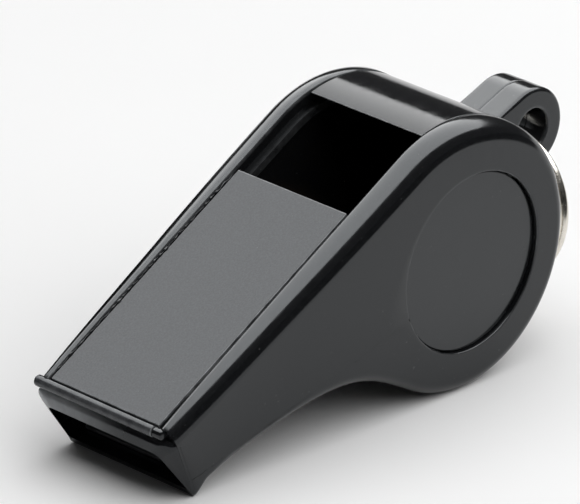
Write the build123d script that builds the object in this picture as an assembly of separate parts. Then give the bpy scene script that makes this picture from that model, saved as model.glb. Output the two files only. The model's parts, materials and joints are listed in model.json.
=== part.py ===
from build123d import *
import math
import os

# Sports whistle with a cork pea, moulded in two halves, in millimetres.
# The pieces are drawn with the top plate level and the drum axis as origin,
# then tipped back to rest on the drum and the lower lip of the mouth.
# +X runs from the mouth to the lanyard lug, +Y to the left cheek, +Z is up.

# Body outline
body_width = 20.0
mouth_narrowing = 1.5
drum_radius = 13.6
rail_rise = 1.2
bridge_rise = 0.65
mouth_reach = 37.4
rail_setback = 0.6
edge_radius = 1.6

# Lower lip, underside and neck
mouth_height = 8.75
lip_radius = 0.5
lip_length = 1.6
lip_flare = 0.2
mouth_corner_radius = 2.5
mouth_corner_reach = 1.0
underside_angle = 10.8
neck_angle = 211.0
underside_hold_share = 0.85
neck_hold_share = 0.70

# Slot between the rails, chamber and seats of the top pieces
rail_width = 2.7
drum_wall = 2.0
ledge_width = 0.5
ledge_depth = 0.8
fit_gap = 0.05

# Top plate with its bead and apron
plate_step = 0.5
plate_thickness = 1.5
window_front = 8.4
bead_radius = 0.7
bead_inset = 0.5
bead_drop = 0.7
groove_width = 0.3
groove_depth = 0.6
apron_depth = 4.75
apron_thickness = 0.8
apron_run = 3.0

# Bridge behind the window
window_rear = 2.7
bridge_thickness = 1.2
bridge_end_angle = 20.0
blade_bevel = 0.9

# Windway floor
lip_wall = 1.0
duct_rear_height = 2.4
floor_setback = 1.6
floor_front_height = 0.5
floor_overlap = 0.4
windway_gap = 1.25

# Round inlays in the cheeks
cheek_rim = 4.6
badge_thickness = 0.6
badge_recess = 0.5

# Locating pins between the halves
pin_radius = 0.5
pin_length = 1.5
pin_gap = 0.1
pin_angles = (195.0, 285.0)

# Lanyard lug
lug_width = 5.4
lug_radius = 4.25
lug_stand = 4.15
lug_angle = -8.1
lug_hole_radius = 2.15
lug_edge_radius = 0.4

# Cork pea
pea_radius = 5.5
pea_gap = 0.3

# Split ring
ring_outer_radius = 7.6
ring_wire_radius = 0.45
ring_turn_gap = 0.45
ring_clearance = 0.3
ring_lean = 6.0
ring_turns = 2
ring_arcs_per_turn = 4
ring_points_per_turn = 48

# How far every cut runs past the faces that it opens
overrun = 1.0

half_body = body_width / 2
half_slot = half_body - rail_width
slot_width = 2 * half_slot
rail_height = drum_radius + rail_rise
far = 2 * rail_height
cheek_arc_radius = (mouth_reach**2 + mouth_narrowing**2) / (2 * mouth_narrowing)
plate_top = rail_height - plate_step
plate_seat = plate_top - plate_thickness
lip_height = plate_top - mouth_height
chamber_radius = drum_radius - drum_wall
duct_rear = (-math.sqrt(chamber_radius**2 - duct_rear_height**2), duct_rear_height)
bridge_radius = drum_radius + bridge_rise
bridge_seat = bridge_radius - bridge_thickness
badge_radius = drum_radius - cheek_rim
lug_reach = drum_radius + lug_stand
pocket_floor = half_body - badge_recess - badge_thickness
ring_radius = ring_outer_radius - ring_wire_radius
ring_pitch = 2 * ring_wire_radius + ring_turn_gap


def polar(radius, angle):
    """Point of the side view at a distance and angle from the drum axis."""
    return (radius * math.cos(math.radians(angle)), radius * math.sin(math.radians(angle)))


def half_width(x):
    """Half the body's width: level over the drum, drawn in on a large arc to the mouth."""
    if x >= 0:
        return half_body
    return half_body - cheek_arc_radius + math.sqrt(cheek_arc_radius**2 - x**2)


def across(face, width):
    """Solid of a side-view face, centred on the mid-plane."""
    return extrude(Plane.XZ * face, amount=width / 2, both=True)


def polygon(*points):
    """Side-view face with straight sides."""
    return make_face(Polyline(*points, close=True))


def between(face, inner, outer):
    """Pair of side-view solids that fill the same band of width on both sides."""
    return across(face, 2 * outer) - across(face, 2 * inner)


def crossing(start, start_dir, end, end_dir):
    """Point where two lines of the side view cross."""
    det = start_dir[0] * end_dir[1] - start_dir[1] * end_dir[0]
    run = ((end[0] - start[0]) * end_dir[1] - (end[1] - start[1]) * end_dir[0]) / det
    return (start[0] + run * start_dir[0], start[1] + run * start_dir[1])


def toward(start, end, share):
    """Point at a share of the way from one point to another."""
    return tuple(a + share * (b - a) for a, b in zip(start, end))


def duct_floor(x):
    """Height of the shells' inner floor, a straight line under the windway floor."""
    front = lip_height - lip_radius + lip_wall
    share = (x + mouth_reach) / (duct_rear[0] + mouth_reach)
    return front + share * (duct_rear[1] - front)


def outer_profile():
    """Side view of the body: rails, drum, neck, underside and lower lip."""
    lip_center = (lip_radius - mouth_reach, lip_height)
    lip_bottom = (lip_center[0], lip_center[1] - lip_radius)
    lip_back = (lip_bottom[0] + lip_length, lip_height + lip_flare)
    neck = polar(drum_radius, neck_angle)
    rise = math.radians(underside_angle)
    turn = math.radians(neck_angle)
    corner = crossing(lip_back, (math.cos(rise), -math.sin(rise)), neck, (-math.sin(turn), math.cos(turn)))
    crest = (rail_setback - mouth_reach, rail_height)
    groove = (crest[0] - groove_width, plate_top - groove_depth)
    underside = Bezier(
        lip_back,
        toward(lip_back, corner, underside_hold_share),
        toward(neck, corner, neck_hold_share),
        neck,
    )
    return make_face(
        [
            Line(crest, (-rail_rise, rail_height)),
            CenterArc((-rail_rise, 0), rail_height, 0, 90),
            CenterArc((0, 0), drum_radius, neck_angle, 360 - neck_angle),
            underside,
            Line(lip_back, lip_bottom),
            CenterArc(lip_center, lip_radius, 180, 90),
            Line((-mouth_reach, lip_height), groove),
            Line(groove, crest),
        ]
    )


def plan_profile():
    """Top view of the body: parallel over the drum, drawn in to the mouth."""
    rear = drum_radius + overrun
    front = -mouth_reach - mouth_corner_reach
    tip = half_width(front)
    middle = half_width(front / 2)
    return make_face(
        [
            Line((rear, -half_body), (rear, half_body)),
            Line((rear, half_body), (0, half_body)),
            ThreePointArc((0, half_body), (front / 2, middle), (front, tip)),
            Line((front, tip), (front, -tip)),
            ThreePointArc((front, -tip), (front / 2, -middle), (0, -half_body)),
            Line((0, -half_body), (rear, -half_body)),
        ]
    )


def bead_face():
    """Section of the rolled bead across the top of the mouth."""
    return Pos(bead_inset - mouth_reach, plate_top - bead_drop) * Circle(bead_radius)


def outer_body():
    """Outside of both halves together, with rounded cheeks."""
    view = plan_profile()
    plan = extrude(view, amount=far, both=True)
    corners = view.vertices().sort_by(Axis.X)[:2]
    rounded = extrude(fillet(corners, mouth_corner_radius), amount=far, both=True)
    body = across(outer_profile(), body_width + 2 * overrun) & plan
    lip_end = lip_radius + lip_length - mouth_reach
    rims = [
        edge
        for edge in body.edges()
        if min(abs(vertex.Y) for vertex in edge.vertices()) > half_slot
        and edge.center().X > lip_end
        and (edge.geom_type != GeomType.LINE or edge.center().Z > drum_radius)
    ]
    body = fillet(rims, edge_radius) & rounded
    return body + (across(bead_face(), body_width) & plan)


def lug():
    """Lanyard lug, a round-ended tab that stands out of the drum."""
    tab = Rectangle(lug_reach, 2 * lug_radius, align=(Align.MIN, Align.CENTER))
    tab += Pos(lug_reach, 0) * Circle(lug_radius)
    solid = across(tab, lug_width)
    sides = solid.faces().filter_by(Axis.Y)
    solid = fillet(sides.edges(), lug_edge_radius)
    solid -= across(Pos(lug_reach, 0) * Circle(lug_hole_radius), lug_width + 2 * overrun)
    return Rot(0, -lug_angle, 0) * solid


def roof_sector(*front):
    """Side-view sector over the drum, from a front edge to the bridge's rear end."""
    rear = polar(far, bridge_end_angle)
    return polygon(*front, rear, (rear[0], far))


def on_rear_end(x):
    """Point on the line of the bridge's rear end."""
    return (x, x * math.tan(math.radians(bridge_end_angle)))


def hollow():
    """Chamber, windway duct and slot between the rails, as one cutting solid."""
    front = -mouth_reach - overrun
    duct = polygon((front, duct_floor(front)), duct_rear, (0, 0), (0, far), (front, far))
    return across(Circle(chamber_radius) + duct + roof_sector((0, far), (0, 0)), slot_width)


def bridge_band(inner, outer):
    """Side-view ring about the centre of the bridge's arc."""
    return Pos(-bridge_rise, 0) * (Circle(outer) - Circle(inner))


def ledges():
    """Ribs inside the rails on which the top plate and the bridge are seated."""
    front = bead_inset + apron_run - mouth_reach
    flat = polygon(
        (front, plate_seat - ledge_depth),
        (window_rear, plate_seat - ledge_depth),
        (window_rear, plate_seat),
        (front, plate_seat),
    )
    sector = roof_sector((window_rear, far), on_rear_end(window_rear))
    curved = bridge_band(bridge_seat - ledge_depth, bridge_seat) & sector
    return between(flat + curved, half_slot - ledge_width, half_slot)


def badge_at(radius, inner, outer):
    """Disc of a cheek inlay, between two distances from the mid-plane, on the right."""
    disc = Plane.XZ * Circle(radius)
    return Pos(0, -inner, 0) * extrude(disc, amount=outer - inner)


def pins(radius, length):
    """Locating pins, or the sockets for them, on the left side of the mid-plane."""
    middle = (chamber_radius + drum_radius) / 2
    spots = [Plane.XZ * Pos(*polar(middle, angle)) * Circle(radius) for angle in pin_angles]
    return [extrude(spot, amount=-length) for spot in spots]


def shells():
    """Right and left halves of the body, split on the mid-plane."""
    whole = outer_body() + lug() - hollow() + ledges()
    pocket = badge_at(badge_radius, pocket_floor, half_body + overrun)
    whole -= [pocket, mirror(pocket, Plane.XZ)]
    right = split(whole, Plane.XZ, keep=Keep.TOP)
    left = split(whole, Plane.XZ, keep=Keep.BOTTOM)
    return right + pins(pin_radius, pin_length), left - pins(pin_radius + pin_gap, pin_length + pin_gap)


def windway_roof():
    """Top plate between the rails, with the bead and apron over the mouth."""
    crest_x = rail_setback - mouth_reach
    apron_x = bead_inset - mouth_reach
    apron_bottom = plate_top - apron_depth
    underside = plate_seat + fit_gap
    plate = polygon(
        (crest_x, plate_top),
        (crest_x - groove_width, plate_top - groove_depth),
        (apron_x, plate_top - bead_drop),
        (apron_x, apron_bottom),
        (apron_x + apron_thickness, apron_bottom),
        (apron_x + apron_run, underside),
        (-window_front, underside),
        (-window_front, plate_top),
    )
    return across(plate + bead_face(), slot_width - 2 * fit_gap)


def rear_bridge():
    """Curved roof strip behind the window, bevelled underneath to a blade."""
    blade_z = math.sqrt(bridge_radius**2 - (window_rear + bridge_rise) ** 2)
    heel = window_rear + blade_bevel
    blade = [(window_rear, far), (window_rear, blade_z), (heel, blade_z - blade_bevel)]
    sector = roof_sector(*blade, on_rear_end(heel))
    strip = bridge_band(bridge_seat + fit_gap, bridge_radius) & sector
    return across(strip, slot_width - 2 * fit_gap)


def windway_floor():
    """Ramp under the top plate that narrows the windway toward the window."""
    front = floor_setback - mouth_reach
    rear = -window_front - floor_overlap
    ramp = polygon(
        (front, duct_floor(front) + fit_gap),
        (rear, duct_floor(rear) + fit_gap),
        (rear, plate_seat - windway_gap),
        (front, duct_floor(front) + floor_front_height),
    )
    return across(ramp - Circle(chamber_radius), slot_width - 2 * fit_gap)


def helix_point(turn):
    """Point of the ring's wire after a number of turns, and its direction there."""
    angle = 2 * math.pi * turn - math.pi / 2
    spot = Vector(
        ring_pitch * (turn - ring_turns / 2), ring_radius * math.cos(angle), ring_radius * math.sin(angle)
    )
    course = Vector(
        ring_pitch / (2 * math.pi), -ring_radius * math.sin(angle), ring_radius * math.cos(angle)
    )
    return spot, course.normalized()


def biarc(start, start_dir, end, end_dir):
    """Two arcs that join two points of the wire in its two directions."""
    chord = end - start
    both = start_dir + end_dir
    a = 2 * (start_dir.dot(end_dir) - 1)
    b = -2 * chord.dot(both)
    c = chord.dot(chord)
    reach = (-b - math.sqrt(b * b - 4 * a * c)) / (2 * a)
    first = start + start_dir * reach
    last = end - end_dir * reach
    joint = (first + last) / 2
    return [
        TangentArc(start, joint, tangent=start_dir),
        TangentArc(joint, end, tangent=(last - first).normalized()),
    ]


def split_ring():
    """Sprung wire ring of close turns, drawn about its own centre with its axis along X."""
    steps = ring_turns * ring_arcs_per_turn
    stations = [helix_point(step / ring_arcs_per_turn) for step in range(steps + 1)]
    arcs = []
    for (start, start_dir), (end, end_dir) in zip(stations, stations[1:]):
        arcs += biarc(start, start_dir, end, end_dir)
    path = Wire(arcs)
    section = Plane(origin=stations[0][0], z_dir=stations[0][1]) * Circle(ring_wire_radius)
    print("least gap between the ring's turns:", round(turn_gap(path), 3))
    return sweep(section, path=path)


def turn_gap(path):
    """Least distance between the surfaces of neighbouring turns, on points of the path."""
    count = ring_points_per_turn * ring_turns
    points = [path @ (step / count) for step in range(count + 1)]
    apart = ring_points_per_turn // 2
    gaps = [(q - p).length for i, p in enumerate(points) for q in points[i + apart :]]
    return min(gaps) - 2 * ring_wire_radius


def ring_drop():
    """Distance from the lug hole's axis down to the ring's centre, hanging in the hole."""
    reach = lug_hole_radius - ring_wire_radius - ring_clearance
    dip = ring_radius - math.sqrt(ring_radius**2 - (lug_width / 2) ** 2)
    return math.sqrt(reach**2 - (ring_pitch / 2) ** 2) - dip + ring_radius


def rest_tilt():
    """Angle that brings the drum and the lower lip onto one level."""
    lip = (lip_radius - mouth_reach, lip_height)
    bearing = math.degrees(math.atan2(lip[1], lip[0]))
    swing = math.degrees(math.acos((drum_radius - lip_radius) / math.hypot(*lip)))
    return 270 - bearing - swing


tilt = rest_tilt()
stand = Pos(0, 0, drum_radius) * Rot(0, -tilt, 0)
hole_x, hole_z = polar(lug_reach, lug_angle + tilt)
ring_hang = Pos(hole_x, 0, drum_radius + hole_z) * Rot(0, ring_lean, 0) * Pos(0, 0, -ring_drop())
pea_orbit = chamber_radius - pea_gap - pea_radius
right_shell, left_shell = shells()
right_badge = badge_at(badge_radius - fit_gap, pocket_floor + fit_gap, half_body - badge_recess)

pieces = {
    "right_shell": stand * right_shell,
    "left_shell": stand * left_shell,
    "windway_roof": stand * windway_roof(),
    "windway_floor": stand * windway_floor(),
    "rear_bridge": stand * rear_bridge(),
    "right_badge": stand * right_badge,
    "left_badge": stand * mirror(right_badge, Plane.XZ),
    "pea": Pos(0, 0, drum_radius - pea_orbit) * Sphere(pea_radius),
    "split_ring": ring_hang * split_ring(),
}

boxes = [piece.bounding_box() for piece in pieces.values()]
middle_x = (min(box.min.X for box in boxes) + max(box.max.X for box in boxes)) / 2
center = Pos(-middle_x, 0, 0)
os.makedirs("parts", exist_ok=True)
for name, piece in pieces.items():
    export_step(center * piece, f"parts/{name}.step")
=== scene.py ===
import json
import math

import bmesh
import bpy
import numpy as np
from mathutils import Euler, Matrix


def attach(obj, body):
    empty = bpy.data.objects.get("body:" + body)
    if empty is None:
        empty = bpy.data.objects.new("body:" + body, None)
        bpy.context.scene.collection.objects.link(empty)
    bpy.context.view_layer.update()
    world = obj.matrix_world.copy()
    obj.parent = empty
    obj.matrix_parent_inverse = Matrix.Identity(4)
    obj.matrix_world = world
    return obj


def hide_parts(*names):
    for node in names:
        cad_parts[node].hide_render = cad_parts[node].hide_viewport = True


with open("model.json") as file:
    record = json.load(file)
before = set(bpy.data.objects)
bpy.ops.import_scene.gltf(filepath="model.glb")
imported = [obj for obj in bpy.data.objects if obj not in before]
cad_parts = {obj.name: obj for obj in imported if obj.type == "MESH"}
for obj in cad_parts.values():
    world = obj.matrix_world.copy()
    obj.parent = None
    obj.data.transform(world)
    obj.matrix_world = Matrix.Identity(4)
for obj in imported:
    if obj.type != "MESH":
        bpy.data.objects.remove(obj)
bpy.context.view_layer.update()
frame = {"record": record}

bl_info = {
    "name": "Sports whistle",
    "version": (1, 0, 0),
    "blender": (4, 5, 0),
    "location": "3D View > Sidebar > Whistle",
    "description": "Pea whistle: moulded halves, top plate, bridge, inlays, cork pea and split ring",
    "category": "Object",
}

# The side view of the whistle has the drum axis as origin, +X to the lanyard lug and +Z out of the
# top plate. The whistle is then tipped back about the drum axis to rest on its drum and lower lip.
MM = 0.001
WHISTLE = "whistle"
BALL = "ball"
RING = "ring"
# Edges that turn by more degrees than this stay sharp
CREASE = 35.0
RING_CREASE = 60.0
NO_CREASE = 180.0
# Room between a seated piece and what carries it
SEAT_GAP = 0.05 * MM
# Half the seam between the two halves on the mid-plane
SEAM = 0.06 * MM
# How far the halves run past the mouth before they are cut there
OVERRUN = 3 * MM
# Rounding of the side ends of the top plate and the windway floor, and of the bridge
END_ROUND = 0.1 * MM
BRIDGE_END_ROUND = 0.06 * MM
# Directions of the cuts that round the lower lip, in degrees round its centre
LIP_CUTS = (198.0, 220.0, 240.0)
# Places of two rows between rows that lie far apart
THIRDS = (0.33, 0.67)
# Values between which a noise pattern is spread out, for soft clouds and for plainer patches
CLOUDS = (0.3, 0.7)
PATCHES = (0.35, 0.65)
# Inputs of a colour mixing node that take the share and the two colours, and its output
MIX_SHARE, MIX_FIRST, MIX_SECOND, MIX_RESULT = 0, 6, 7, 2
# Finishes of the moulded plastic: colour, roughness, depth of the grain in millimetres, strength of the
# painted highlight along the edges, dust, sheen, and the least share of that highlight along an edge
FINISHES = {
    "shell_finish": ("shell", 0.15, 0.0010, 0.2, 0.5, 0.44, 0.35),
    "tip_finish": ("shell", 0.15, 0.0010, 0.9, 0.4, 0.40, 0.85),
    "plate_finish": ("plate", 0.20, 0.0018, 0.9, 0.3, 0.28, 0.35),
    "bridge_finish": ("shell", 0.11, 0.0008, 0.9, 0.3, 0.21, 0.35),
    "inner_finish": ("inside", 0.45, 0.006, 0.1, 0.8, 0.5, 0.35),
    "inlay_finish": ("shell", 0.18, 0.0010, 0.2, 0.4, 0.55, 0.35),
}
# Lowest and highest corner of each overhead panel, as shares of the panels' height. The wide one hangs
# higher and lights the surfaces, and the three bright ones show in their sheen.
WIDE_PANEL = "wide_panel"
WIDE_RISE = 1.2
PANELS = (
    (WIDE_PANEL, (-0.6, -2.8), (2.6, 1.0)),
    ("top_panel", (-0.3, -0.8), (0.6, 0.45)),
    ("far_panel", (-0.6, 0.45), (1.5, 2.2)),
    ("near_panel", (0.6, -0.8), (1.7, 0.45)),
)
SENSOR_WIDTH = 36.0
joints = {joint["name"]: joint for joint in frame["record"]["behaviour"]["joints"]}
drum_axis = np.array(joints["pea_orbit"]["pos_m"])
lug_axis = np.array(joints["ring_swing"]["pos_m"])


def length(name, millimetres, description):
    """Property of a length, given in millimetres."""
    return bpy.props.FloatProperty(
        name=name, description=description, default=millimetres * MM, min=0.0, precision=5, unit="LENGTH"
    )


def angle(name, degrees, description):
    """Property of an angle, given in degrees."""
    return bpy.props.FloatProperty(
        name=name, description=description, default=math.radians(degrees), subtype="ANGLE"
    )


def colour(name, rgb, description):
    """Property of a colour, given as red, green and blue."""
    return bpy.props.FloatVectorProperty(
        name=name, description=description, default=(*rgb, 1.0), size=4, min=0.0, max=1.0, subtype="COLOR"
    )


def number(name, value, description):
    """Property of a plain number."""
    return bpy.props.FloatProperty(name=name, description=description, default=value, min=0.0)


class WhistleSizes(bpy.types.PropertyGroup):
    """Sizes of the whistle's pieces, as its side view and its width show them."""

    half_body: length("Half width", 10.0, "From the mid-plane to a cheek over the drum")
    mouth_narrowing: length("Mouth narrowing", 1.5, "How far each cheek is drawn in at the mouth")
    mouth_draft: length("Mouth draft", 0.4, "How much wider the mouth is above than in its middle")
    mouth_corner: length("Mouth corner", 2.0, "Radius that turns the cheeks in at the mouth")
    mouth_corner_start: length("Mouth corner start", 36.6, "Where that radius starts, from the drum axis")
    drum_radius: length("Drum radius", 13.6, "Outside of the drum")
    drum_wall: length("Drum wall", 2.0, "Thickness of the drum's barrel")
    rail_rise: length("Rail rise", 1.0, "Height of the rails above the drum's top")
    bridge_rise: length("Bridge rise", 0.65, "Height of the bridge above the drum's top")
    mouth_reach: length("Mouth reach", 37.4, "From the drum axis to the lower lip")
    rail_setback: length("Rail setback", 0.6, "From the lower lip back to the rails' front ends")
    mouth_wall: length("Mouth wall", 0.4, "Thickness of the side walls at the mouth")
    slot_half: length("Half slot", 7.3, "From the mid-plane to a rail's inner side")
    rail_round: length("Rail round", 2.1, "Radius of the cheeks' upper edges")
    cheek_round: length("Cheek round", 1.3, "Radius of the cheeks' rear and lower edges")
    lip_round: length("Lip round", 0.7, "Radius of the lower lip's ends")
    rail_edge: length("Rail edge", 0.5, "Radius of the rails' inner edges")
    lip_height: length("Lip height", 5.55, "Lower lip's centre above the drum axis")
    lip_radius: length("Lip radius", 0.5, "Half the thickness of the lower lip")
    lip_length: length("Lip length", 1.6, "Run of the flare behind the lower lip")
    lip_flare: length("Lip flare", 0.2, "Height of the flare's rear end above the lip's centre")
    lip_wall: length("Lip wall", 1.0, "Thickness of the mouth's lower wall")
    duct_rear: length("Duct rear", 2.4, "Height of the duct's floor where it meets the drum")
    plate_step: length("Plate step", 0.3, "Depth of the top plate below the rails")
    plate_thickness: length("Plate thickness", 1.5, "Thickness of the top plate")
    plate_gap: length("Plate gap", 0.22, "Seam between the top plate and a rail")
    bridge_gap: length("Bridge gap", 0.1, "Seam between the bridge and a rail")
    window_front: length("Window front", 8.4, "Window's front edge ahead of the drum axis")
    window_rear: length("Window rear", 2.7, "Window's rear edge behind the drum axis")
    ledge_width: length("Ledge width", 0.5, "Width of the rails' inner ledges")
    ledge_depth: length("Ledge depth", 0.8, "Depth of the rails' inner ledges")
    bead_radius: length("Bead radius", 0.58, "Radius of the roll across the top of the mouth")
    bead_lead: length("Bead lead", 0.30, "Roll's centre ahead of the rails' front ends")
    bead_drop: length("Bead drop", 0.62, "From the top plate down to the roll's centre")
    bead_half: length("Half bead", 7.6, "From the roll's middle to its ends")
    stub_run: length("Stub run", 1.2, "Length of the roll's end pieces")
    bead_shift: length("Bead shift", 1.0, "How far the roll sits to the far side")
    tip_drop: length("Tip drop", 1.2, "From the top plate down to the tip's brow")
    tip_depth: length("Tip depth", 1.1, "From the tip's brow down to the opening's upper edge")
    tip_lead: length("Tip lead", 0.96, "How far the opening's upper edge stands ahead of the lower lip")
    tip_shift: length("Tip shift", 0.4, "How far the tip's brow leans to the far side")
    tip_low: length("Opening below", 7.9, "Half width of the opening at the lower lip")
    tip_high: length("Opening above", 7.3, "Half width of the opening at its upper edge")
    tip_brow: bpy.props.FloatProperty(
        name="Tip brow",
        description="Place of the brow between the halves' ends and the edge",
        default=0.45,
        min=0.0,
        max=1.0,
        subtype="FACTOR",
    )
    groove: length("Bead groove", 0.16, "Width of the scored line between the top plate and the roll")
    apron_run: length("Apron run", 3.0, "From the apron's face to the foot of its slope")
    bridge_thickness: length("Bridge thickness", 1.2, "Thickness of the bridge")
    blade_bevel: length("Blade bevel", 0.9, "Bevel under the bridge's front edge")
    floor_setback: length("Floor setback", 1.6, "From the lower lip back to the windway floor")
    floor_front: length("Floor front", 0.5, "Height of the windway floor's front edge")
    floor_stop: length("Floor stop", 0.4, "How far ahead of the window the windway floor ends")
    windway_gap: length("Windway gap", 1.25, "Gap between the windway's floor and roof")
    badge_radius: length("Inlay radius", 9.12, "Radius of the round pocket in each cheek")
    badge_back: length("Inlay setback", 0.17, "Inlay's centre behind the drum axis")
    badge_drop: length("Inlay drop", 0.43, "Inlay's centre below the drum axis")
    badge_recess: length("Inlay recess", 0.5, "Depth of the inlay below the cheek")
    badge_thickness: length("Inlay thickness", 0.6, "Thickness of the inlay")
    lug_half: length("Half lug", 2.7, "From the mid-plane to a side of the lug")
    lug_radius: length("Lug radius", 4.25, "Radius of the lug's round end")
    lug_hole: length("Lug hole", 2.15, "Radius of the lug's hole")
    lug_round: length("Lug round", 0.4, "Radius of the lug's outer edges")
    pea_radius: length("Pea radius", 5.5, "Radius of the cork pea")
    pea_gap: length("Pea gap", 0.3, "Gap between the pea and the drum's inside")
    ring_radius: length("Ring radius", 7.25, "Radius of the split ring, at the middle of its wire")
    ring_wire: length("Ring wire", 0.45, "Half the thickness of the ring's wire")
    ring_drop: length("Ring drop", 8.3, "From the lug hole's axis to the ring's centre")
    underside: angle("Underside", 10.8, "Slope of the underside behind the lip")
    neck: angle("Neck", 211.0, "Where the underside meets the drum")
    bridge_end: angle("Bridge end", 20.0, "Where the bridge ends on the drum")
    ring_lean: angle("Ring lean", 6.0, "How far the ring leans to the drum")


class WhistleColours(bpy.types.PropertyGroup):
    """Colours of the finishes, as the materials write them."""

    shell: colour("Shell plastic", (0.0055, 0.0058, 0.0064), "Plastic of halves, tip, bridge, inlays")
    plate: colour("Plate plastic", (0.017, 0.018, 0.020), "Greyer plastic of the top plate")
    inside: colour("Inner plastic", (0.006, 0.006, 0.0065), "Black plastic inside the windway")
    sheen: colour("Sheen", (0.93, 0.97, 1.0), "Cool tint of the plastic's sheen")
    # Paler colour that paints highlights along edges
    edge: colour("Edge highlight", (0.30, 0.31, 0.32), "Paler plastic painted along edges as a highlight")
    dust: colour("Dust", (0.20, 0.20, 0.19), "Specks of dust")
    cork: colour("Cork", (0.50, 0.31, 0.16), "Pale cork")
    cork_pit: colour("Cork pits", (0.16, 0.075, 0.03), "Dark pits in the cork")
    metal: colour("Ring metal", (0.80, 0.76, 0.69), "Nickel plate of the split ring")
    floor: colour("Floor", (0.93, 0.93, 0.93), "Plain pale floor")
    card: colour("Card", (0.004, 0.004, 0.004), "Black cards beside the whistle")


class WhistleStage(bpy.types.PropertyGroup):
    """Camera, light and the black cards that show in the sheen."""

    azimuth: angle("Azimuth", -46.646, "Direction of view round the whistle")
    elevation: angle("Elevation", 24.356, "Height of the camera above the horizon")
    roll: angle("Roll", 1.22, "Turn of the camera about its own axis")
    distance: length("Distance", 672.72, "From the camera to the point that it looks at")
    aim_x: bpy.props.FloatProperty(
        name="Aim along", description="Point looked at, along the whistle", default=-5.05 * MM, unit="LENGTH"
    )
    aim_z: length("Aim height", 15.78, "Point looked at, above the floor")
    lens: bpy.props.FloatProperty(
        name="Lens", description="Focal length on a 36 mm wide sensor", default=442.07, unit="CAMERA"
    )
    panel_height: length("Panel height", 600.0, "Height of the overhead soft panels")
    panel_level: number("Panel level", 5.0, "Brightness of the panels that show in the sheen")
    wide_level: number("Wide level", 1.7, "Brightness of the wide panel that lights the surfaces")
    card_front: length("Card front", 120.0, "How far the black cards reach ahead of the whistle's middle")
    card_distance: length("Near card distance", 60.0, "Near black card's distance from the mid-plane")
    card_height: length("Near card height", 32.0, "Near black card's height")
    card_rear: length("Near card rear", 300.0, "How far the near card reaches behind the middle")
    far_card_distance: length("Far card distance", 30.0, "Far black card's distance from the mid-plane")
    far_card_height: length("Far card height", 20.0, "Far black card's height")
    far_card_rear: length("Far card rear", 20.0, "How far the far card reaches behind the middle")
    ambient: number("Ambient", 0.05, "Level of the dim surroundings")


# Curves of the side view, as arrays of points


def full_turn(count):
    """Angles evenly spread round a full turn, its end left out."""
    return np.linspace(0.0, 2 * np.pi, count, endpoint=False)


def quarter_turn(count):
    """Angles evenly spread from zero to a right angle."""
    return np.linspace(0.0, np.pi / 2, count)


def line(start, end):
    """Straight run from one point to another."""
    return np.array([start, end])


def arc(center, radius, start, end, count):
    """Arc about a centre, between two angles in radians."""
    turn = np.linspace(start, end, count)
    return np.asarray(center) + radius * np.stack([np.cos(turn), np.sin(turn)], 1)


def bezier(a, b, c, d, count=96):
    """Cubic curve with two end points and two handles."""
    t = np.linspace(0.0, 1.0, count)[:, None]
    a, b, c, d = (np.asarray(point) for point in (a, b, c, d))
    return a * (1 - t) ** 3 + 3 * b * t * (1 - t) ** 2 + 3 * c * t**2 * (1 - t) + d * t**3


def polar(radius, turn):
    """Point at a distance and angle from the drum axis."""
    return np.array([radius * math.cos(turn), radius * math.sin(turn)])


def along(points):
    """Distance run along a chain of points."""
    steps = np.linalg.norm(np.diff(points, axis=0), axis=1)
    return np.concatenate([[0.0], np.cumsum(steps)])


def spread(points, places):
    """Points of a chain at given distances along it."""
    run = along(points)
    return np.stack([np.interp(places, run, column) for column in points.T], 1)


def soften(points, step, width):
    """Closed, evenly spaced outline whose corners are rounded by averaging over a short bell-shaped run."""
    pace = np.fft.fftfreq(len(points), step)
    bell = np.exp(-2 * (np.pi * pace * width) ** 2)[:, None]
    return np.real(np.fft.ifft(np.fft.fft(points, axis=0) * bell, axis=0))


def even_outline(points, step, width):
    """Closed outline through the points, evenly spaced and with softened corners."""
    closed = np.vstack([points, points[:1]])
    total = along(closed)[-1]
    count = int(round(total / step))
    even = spread(closed, np.arange(count) * total / count)
    return soften(even, total / count, width)


def outward(points):
    """Unit normals of a closed outline, pointing out of it."""
    tangent = np.roll(points, -1, 0) - np.roll(points, 1, 0)
    tangent /= np.linalg.norm(tangent, axis=1)[:, None]
    nxt = np.roll(points, -1, 0)
    area = np.sum(points[:, 0] * nxt[:, 1] - nxt[:, 0] * points[:, 1])
    return np.stack([tangent[:, 1], -tangent[:, 0]], 1) * np.sign(area)


def bends(points):
    """Turn of a closed outline at each of its points, in radians, positive where it bulges."""
    normal = outward(points)
    back = points - np.roll(points, 1, 0)
    change = normal - np.roll(normal, 1, 0)
    return np.sum(change * back, axis=1) / np.linalg.norm(back, axis=1)


def crowd(points, count, share):
    """Indices of an outline's points, some evenly spread and the rest crowded where it bends."""
    turn = np.abs(bends(points))
    weight = (1 - share) / len(points) + share * turn / turn.sum()
    places = np.cumsum(weight) - weight[0]
    return np.unique(np.searchsorted(places, np.linspace(0.0, places[-1], count)).clip(0, len(points) - 1))


def ease(low, high, value):
    """Smooth step from 0 at low to 1 at high."""
    share = np.clip((value - low) / (high - low), 0.0, 1.0)
    return share * share * (3 - 2 * share)


# Meshes from grids of points


def grid_faces(rows, columns, wrap_columns=True, wrap_rows=False, start=0):
    """Four-sided faces between neighbouring rows and columns of a grid, whose points count from a start."""
    i, j = np.meshgrid(
        np.arange(rows if wrap_rows else rows - 1),
        np.arange(columns if wrap_columns else columns - 1),
        indexing="ij",
    )
    down, over = (i + 1) % rows, (j + 1) % columns
    corners = [i * columns + j, i * columns + over, down * columns + over, down * columns + j]
    return (np.stack([corner.ravel() for corner in corners], 1) + start).tolist()


def fan(first, columns, pole, flip):
    """Triangles from one row of a grid to a pole."""
    j = np.arange(columns)
    a, b = first + j, first + (j + 1) % columns
    order = [b, a] if flip else [a, b]
    return np.stack([*order, np.full(columns, pole)], 1).tolist()


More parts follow.
